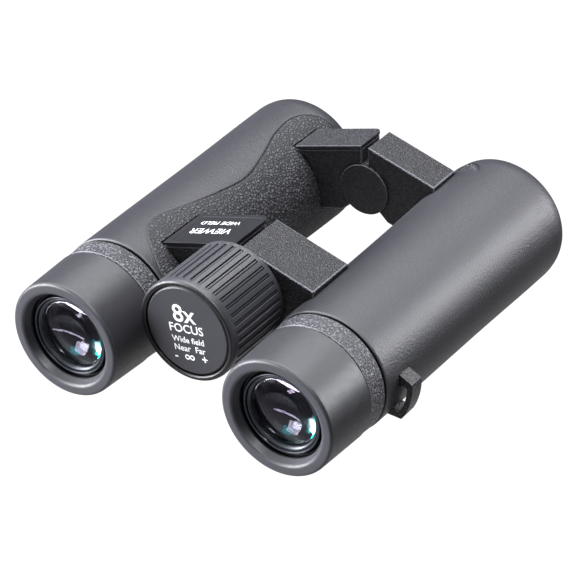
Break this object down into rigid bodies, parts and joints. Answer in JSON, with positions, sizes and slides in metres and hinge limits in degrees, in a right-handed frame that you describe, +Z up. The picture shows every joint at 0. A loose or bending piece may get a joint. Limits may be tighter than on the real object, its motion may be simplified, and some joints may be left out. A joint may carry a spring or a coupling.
{
  "type": "binoculars",
  "caption": "Compact roof-prism binoculars with an open bridge, twist-up eyecups, central focus wheel, dioptre ring and strap lugs.",
  "frame": {"origin": "bottom centre of the whole, midway between the barrels and midway along their length", "axes": "+Y along both optical axes from the eyepieces to the objectives, +X to the right as held, +Z up"},
  "size_m": [0.1166, 0.1226, 0.0457],
  "materials": {
    "armour_rubber": "matte moulded rubber, dark grey-black, leather grain on the grip",
    "eyecup_rubber": "soft matte rubber",
    "wheel_rubber": "matte ribbed rubber",
    "casting": "die-cast light alloy, painted finely stippled black",
    "stippled_trim": "finely stippled",
    "satin_trim": "smooth dark satin",
    "black_metal": "black anodised",
    "bright_steel": "turned steel",
    "brass": "turned brass",
    "glass": "coated optical glass"
  },
  "bodies": {
    "left_half": {"left_barrel_casting": "casting", "left_barrel_armour": "armour_rubber", "left_strap_lug": "stippled_trim", "left_objective_cell": "black_metal", "left_objective_crown_lens": "glass", "left_objective_flint_lens": "glass", "left_objective_retaining_ring": "black_metal", "left_prism_cage": "black_metal", "left_half_prism": "glass", "left_roof_prism": "glass", "left_eyepiece_tube": "black_metal", "left_ocular_cell": "black_metal", "left_ocular_bezel": "black_metal", "left_eye_lens": "glass", "left_field_lens": "glass", "left_field_stop": "black_metal", "left_trim_ring": "stippled_trim", "rear_hinge_bush": "brass", "front_hinge_pin": "bright_steel", "front_hinge_disc": "stippled_trim", "name_plate": "satin_trim", "front_cover_plate": "satin_trim", "focus_wheel_washer": "brass"},
    "right_half": {"right_barrel_casting": "casting", "right_barrel_armour": "armour_rubber", "right_strap_lug": "stippled_trim", "right_objective_cell": "black_metal", "right_objective_crown_lens": "glass", "right_objective_flint_lens": "glass", "right_objective_retaining_ring": "black_metal", "right_prism_cage": "black_metal", "right_half_prism": "glass", "right_roof_prism": "glass", "right_eyepiece_tube": "black_metal"},
    "focus_wheel": {"focus_wheel_grip": "wheel_rubber", "focus_wheel_hub": "black_metal", "focus_wheel_cap": "satin_trim", "focus_wheel_screw": "bright_steel", "focus_spindle": "bright_steel"},
    "left_focus_group": {"focus_drive_nut": "brass", "left_focus_arm": "bright_steel", "left_focus_lens_carrier": "black_metal", "left_focus_lens": "glass"},
    "right_focus_group": {"right_focus_arm": "bright_steel", "right_focus_lens_carrier": "black_metal", "right_focus_lens": "glass"},
    "left_eyecup_cam": {"left_eyecup_cam_sleeve": "satin_trim"},
    "left_eyecup": {"left_eyecup_core": "black_metal", "left_eyecup_rubber": "eyecup_rubber"},
    "right_eyecup_cam": {"right_eyecup_cam_sleeve": "satin_trim"},
    "right_eyecup": {"right_eyecup_core": "black_metal", "right_eyecup_rubber": "eyecup_rubber"},
    "dioptre_ring": {"right_dioptre_ring": "stippled_trim"},
    "right_ocular": {"right_ocular_cell": "black_metal", "right_ocular_bezel": "black_metal", "right_eye_lens": "glass", "right_field_lens": "glass", "right_field_stop": "black_metal"}
  },
  "joints": [
    {"name": "barrel_fold", "type": "hinge", "parent": "left_half", "child": "right_half", "pos_m": [0, 0, 0.0301], "axis": [0, 1, 0], "range_deg": [-7.5, 59]},
    {"name": "focus_turn", "type": "hinge", "parent": "left_half", "child": "focus_wheel", "pos_m": [0, 0, 0.0301], "axis": [0, 1, 0], "range_deg": [-225, 225]},
    {"name": "left_focus_travel", "type": "slide", "parent": "left_half", "child": "left_focus_group", "axis": [0, 1, 0], "range_m": [-0.0022, 0.0022]},
    {"name": "right_focus_travel", "type": "slide", "parent": "right_half", "child": "right_focus_group", "axis": [0, 1, 0], "range_m": [-0.0022, 0.0022]},
    {"name": "left_eyecup_twist", "type": "hinge", "parent": "left_half", "child": "left_eyecup_cam", "pos_m": [-0.0355, 0, 0.0202], "axis": [0, -1, 0], "range_deg": [0, 150]},
    {"name": "left_eyecup_rise", "type": "slide", "parent": "left_eyecup_cam", "child": "left_eyecup", "axis": [0, -1, 0], "range_m": [0, 0.0085]},
    {"name": "right_eyecup_twist", "type": "hinge", "parent": "right_half", "child": "right_eyecup_cam", "pos_m": [0.0355, 0, 0.0202], "axis": [0, -1, 0], "range_deg": [0, 150]},
    {"name": "right_eyecup_rise", "type": "slide", "parent": "right_eyecup_cam", "child": "right_eyecup", "axis": [0, -1, 0], "range_m": [0, 0.0085]},
    {"name": "dioptre_turn", "type": "hinge", "parent": "right_half", "child": "dioptre_ring", "pos_m": [0.0355, 0, 0.0202], "axis": [0, 1, 0], "range_deg": [-40, 40]},
    {"name": "dioptre_shift", "type": "slide", "parent": "right_half", "child": "right_ocular", "axis": [0, 1, 0], "range_m": [-0.001, 0.001]}
  ],
  "couplings": [
    {"joint": "left_focus_travel", "follows": "focus_turn", "m_per_rad": 0.00056},
    {"joint": "right_focus_travel", "follows": "focus_turn", "m_per_rad": 0.00056},
    {"joint": "left_eyecup_rise", "follows": "left_eyecup_twist", "m_per_rad": 0.00324},
    {"joint": "right_eyecup_rise", "follows": "right_eyecup_twist", "m_per_rad": 0.00324},
    {"joint": "dioptre_shift", "follows": "dioptre_turn", "m_per_rad": 0.00142}
  ]
}
